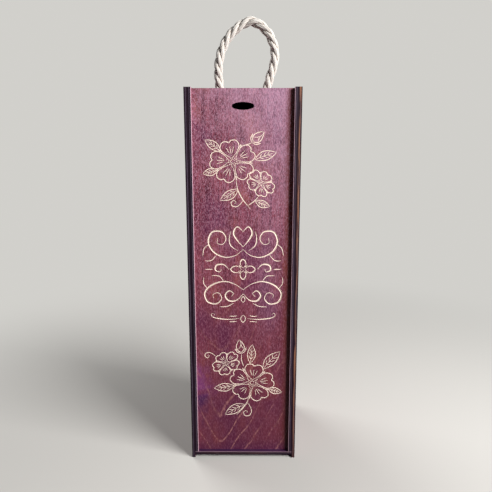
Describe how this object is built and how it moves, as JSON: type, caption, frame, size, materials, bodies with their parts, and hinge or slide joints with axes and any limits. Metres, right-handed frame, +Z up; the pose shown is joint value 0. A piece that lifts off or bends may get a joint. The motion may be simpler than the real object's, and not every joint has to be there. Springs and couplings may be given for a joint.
{
  "type": "wooden wine box",
  "caption": "Tall narrow plywood box for a bottle of wine, with a sliding front lid that has a finger hole, layered sides that form its grooves, and a rope carrying handle on top.",
  "frame": {"origin": "on the floor, in the middle of the box's footprint", "axes": "+Z up along the box's height, +X to the right and -Y out of the lid's front, seen by someone who faces the lid"},
  "size_m": [0.1014, 0.1014, 0.4232],
  "materials": {
    "stained_ply": "satin burgundy stain on birch plywood",
    "burnt_ply": "laser-burnt plywood edges under the same stain",
    "engraved_ply": "satin burgundy stain with fine pale engraved lines",
    "rope": "matt off-white three-strand rope"
  },
  "bodies": {
    "box": {"left_side_panel": "stained_ply", "right_side_panel": "stained_ply", "left_side_liner": "stained_ply", "right_side_liner": "stained_ply", "left_front_rail": "burnt_ply", "right_front_rail": "burnt_ply", "back_panel": "stained_ply", "bottom_panel": "stained_ply", "top_panel": "stained_ply", "left_rope_end": "rope", "right_rope_end": "rope"},
    "lid": {"sliding_lid": "engraved_ply"},
    "handle": {"rope_loop": "rope"}
  },
  "joints": [
    {"name": "lid_slide", "type": "slide", "parent": "box", "child": "lid", "axis": [0, 0, 1], "range_m": [0, 0.345]},
    {"name": "handle_swing", "type": "hinge", "parent": "box", "child": "handle", "pos_m": [0, 0, 0.3508], "axis": [1, 0, 0], "range_deg": [-80, 30], "stiffness_Nm_per_rad": 0.02}
  ]
}
